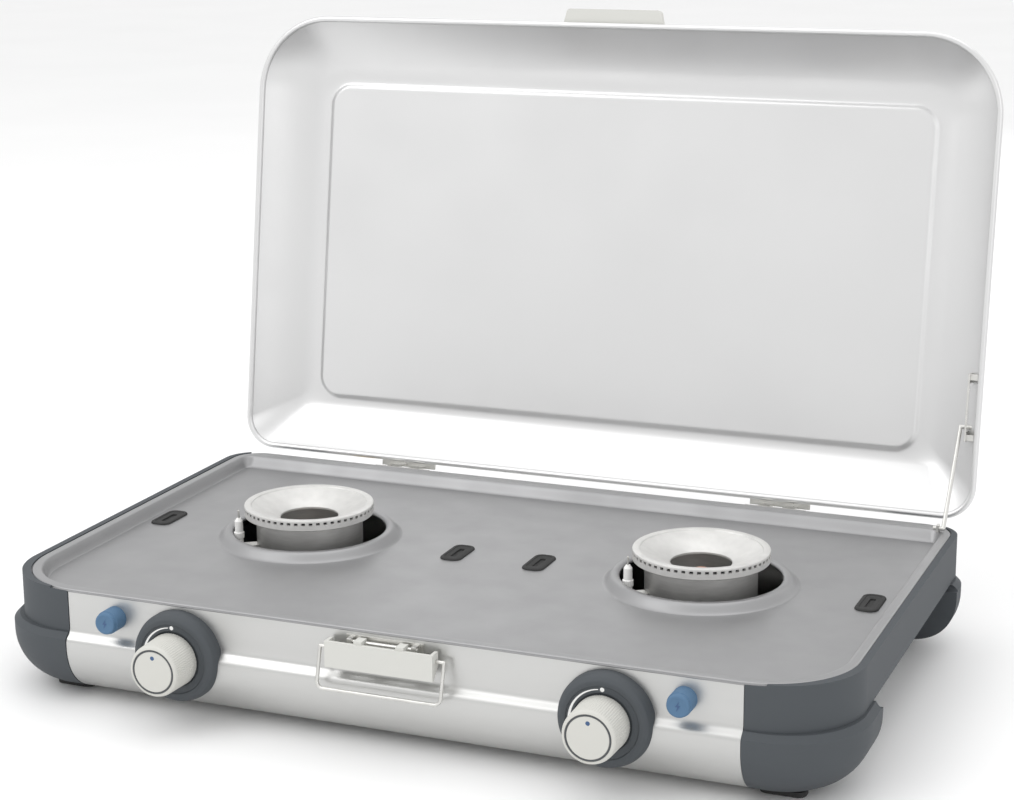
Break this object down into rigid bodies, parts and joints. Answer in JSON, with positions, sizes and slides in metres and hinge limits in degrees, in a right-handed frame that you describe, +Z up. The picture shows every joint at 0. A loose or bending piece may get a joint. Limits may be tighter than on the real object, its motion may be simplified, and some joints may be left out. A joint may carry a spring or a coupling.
{
  "type": "camping stove",
  "caption": "Flat camping stove with round burners, side casings, front knobs and igniters, and a hinged lid with a wire latch and stay.",
  "frame": {"origin": "under the middle of the hob plate, on the surface that the feet stand on", "axes": "+Z up, front panel faces -Y, +X to the right seen from the front; the long side runs along X"},
  "size_m": [0.539, 0.431, 0.3916],
  "materials": {
    "hob_steel": "satin silver enamel",
    "panel_steel": "satin silver sheet",
    "lid_steel": "silver paint on sheet steel",
    "tray_steel": "galvanised sheet",
    "casing_plastic": "fine grained dark grey plastic",
    "bezel_plastic": "fine grained dark grey plastic",
    "black_plastic": "black plastic",
    "rubber": "dark rubber",
    "burner_aluminium": "cast, fine blasted",
    "zinc_steel": "bright zinc plated",
    "brass": "machined",
    "ceramic": "glazed white ceramic",
    "knob_plastic": "pale grey plastic",
    "button_plastic": "blue plastic",
    "latch_plastic": "pale grey plastic"
  },
  "bodies": {
    "base": {"bezel_left": "bezel_plastic", "bezel_right": "bezel_plastic", "bottom_tray": "tray_steel", "burner_bridge_left": "zinc_steel", "burner_bridge_right": "zinc_steel", "burner_crown_left": "burner_aluminium", "burner_crown_right": "burner_aluminium", "burner_head_left": "burner_aluminium", "burner_head_right": "burner_aluminium", "burner_screw_left": "brass", "burner_screw_right": "brass", "casing_left": "casing_plastic", "casing_right": "casing_plastic", "electrode_bracket_left": "zinc_steel", "electrode_bracket_right": "zinc_steel", "electrode_left": "ceramic", "electrode_right": "ceramic", "front_panel": "panel_steel", "gas_inlet": "brass", "gas_rail": "zinc_steel", "gas_valve_left": "brass", "gas_valve_right": "brass", "hinge_base_left": "zinc_steel", "hinge_base_right": "zinc_steel", "hinge_pin_left": "zinc_steel", "hinge_pin_right": "zinc_steel", "hob_plate": "hob_steel", "injector_left": "brass", "injector_right": "brass", "latch_bracket": "zinc_steel", "latch_pin": "zinc_steel", "piezo_unit_left": "black_plastic", "piezo_unit_right": "black_plastic", "rear_panel": "panel_steel", "rubber_feet": "rubber", "spark_pin_left": "zinc_steel", "spark_pin_right": "zinc_steel", "stay_eye": "zinc_steel", "support_sockets": "rubber"},
    "lid": {"lid_shell": "lid_steel", "keeper_tab": "latch_plastic", "stay_bracket": "zinc_steel", "hinge_lid_left": "zinc_steel", "hinge_lid_right": "zinc_steel", "hinge_rivets": "zinc_steel"},
    "stay": {"stay_wire": "zinc_steel"},
    "latch": {"latch_plate": "latch_plastic"},
    "bail": {"bail_wire": "zinc_steel"},
    "knob_turn_left": {"knob_left": "knob_plastic", "valve_spindle_left": "brass"},
    "button_push_left": {"igniter_button_left": "button_plastic"},
    "knob_turn_right": {"knob_right": "knob_plastic", "valve_spindle_right": "brass"},
    "button_push_right": {"igniter_button_right": "button_plastic"}
  },
  "joints": [
    {"name": "lid_hinge", "type": "hinge", "parent": "base", "child": "lid", "pos_m": [0, 0.1626, 0.0669], "axis": [1, 0, 0], "range_deg": [0, 98.75]},
    {"name": "stay_pivot", "type": "hinge", "parent": "base", "child": "stay", "pos_m": [0.2543, 0.1416, 0.0742], "axis": [1, 0, 0], "range_deg": [0, 125.1]},
    {"name": "latch_lever", "type": "hinge", "parent": "base", "child": "latch", "pos_m": [0, -0.16, 0.0655], "axis": [-1, 0, 0], "range_deg": [0, 90]},
    {"name": "bail_swing", "type": "hinge", "parent": "latch", "child": "bail", "pos_m": [0, -0.1615, 0.061], "axis": [-1, 0, 0], "range_deg": [0, 85]},
    {"name": "knob_left_spin", "type": "hinge", "parent": "base", "child": "knob_turn_left", "pos_m": [-0.1334, -0.17, 0.041], "axis": [0, -1, 0], "range_deg": [0, 180]},
    {"name": "button_left_press", "type": "slide", "parent": "base", "child": "button_push_left", "axis": [0, 1, 0], "range_m": [0, 0.006], "stiffness_N_per_m": 600, "springref_m": -0.002},
    {"name": "knob_right_spin", "type": "hinge", "parent": "base", "child": "knob_turn_right", "pos_m": [0.1334, -0.17, 0.041], "axis": [0, -1, 0], "range_deg": [0, 180]},
    {"name": "button_right_press", "type": "slide", "parent": "base", "child": "button_push_right", "axis": [0, 1, 0], "range_m": [0, 0.006], "stiffness_N_per_m": 600, "springref_m": -0.002}
  ],
  "couplings": [
    {"joint": "stay_pivot", "follows": "lid_hinge", "ratio": 1.2658}
  ]
}
